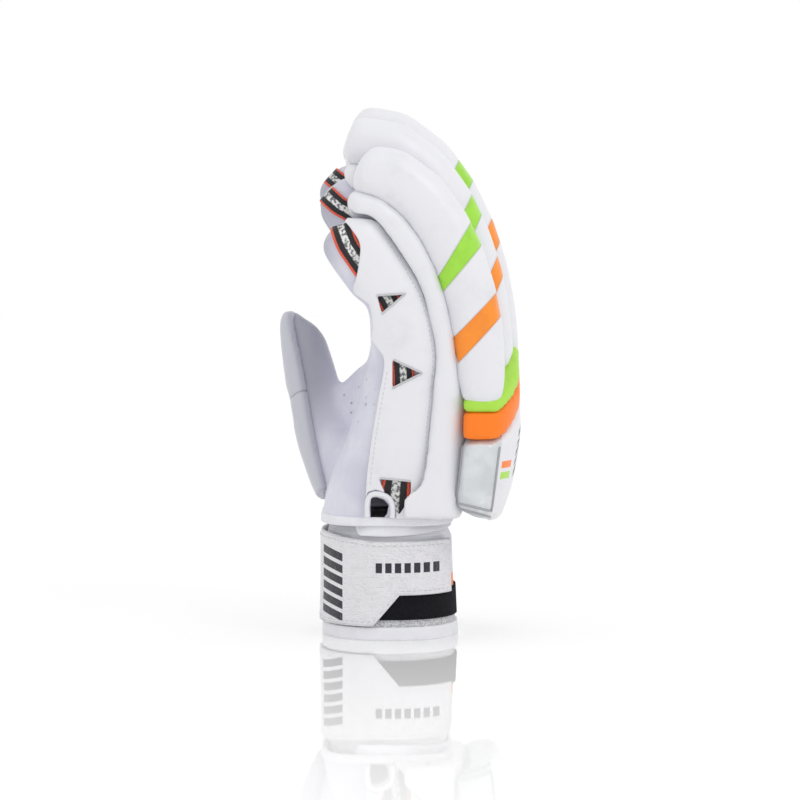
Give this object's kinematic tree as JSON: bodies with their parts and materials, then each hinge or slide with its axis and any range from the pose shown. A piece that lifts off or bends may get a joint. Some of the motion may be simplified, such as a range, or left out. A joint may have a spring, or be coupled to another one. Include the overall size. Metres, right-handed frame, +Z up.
{
  "type": "cricket batting glove",
  "caption": "Left-hand cricket batting glove with a pale leather palm, sausage-shaped finger rolls in white, green and orange, and a strapped towelling cuff, standing on its cuff",
  "frame": {"origin": "middle of the glove's own box, at the bottom of the cuff, on which the glove stands", "axes": "+Z runs up from the cuff to the fingertips, +X points out of the padded back, +Y points to the thumb side"},
  "size_m": [0.1214, 0.1266, 0.2668],
  "materials": {
    "leather": "soft pale grey leather with a fine grain and small holes",
    "white_padding": "smooth white coated leather over foam, sewn into rolls and panels",
    "silver_padding": "wrinkled satin silver and white coated leather over foam",
    "green_padding": "smooth bright green coated leather over foam",
    "orange_padding": "smooth bright orange coated leather over foam",
    "striped_tape": "woven tape in bands of black, silver and orange",
    "white_binding": "narrow matte woven binding, folded over and stitched",
    "elastic": "ribbed elastic above soft towelling",
    "strap_cloth": "padded matte cloth with rows of stitching",
    "fastening_patch": "black loop pile of a touch fastener"
  },
  "bodies": {
    "root": {"palm_body": "leather", "stall_little": "leather", "stall_ring": "leather", "stall_middle": "leather", "stall_index": "leather", "thumb_stall": "leather", "side_panel": "white_padding", "side_tape": "striped_tape", "tape_ring": "striped_tape", "tape_middle": "striped_tape", "tape_index": "striped_tape", "index_panel": "white_padding", "slit_binding": "white_binding", "back_pad": "white_padding", "roll_little": "white_padding", "roll_ring": "white_padding", "roll_middle": "white_padding", "roll_index": "white_padding", "wrist_block": "silver_padding", "chevron_orange": "orange_padding", "chevron_green": "green_padding", "thumb_pad_base": "white_padding", "thumb_pad_tip": "white_padding", "body_hem": "white_binding", "wrist_band": "elastic", "cuff_binding": "white_binding", "strap_patch": "fastening_patch", "wrist_strap": "strap_cloth"}
  },
  "joints": []
}
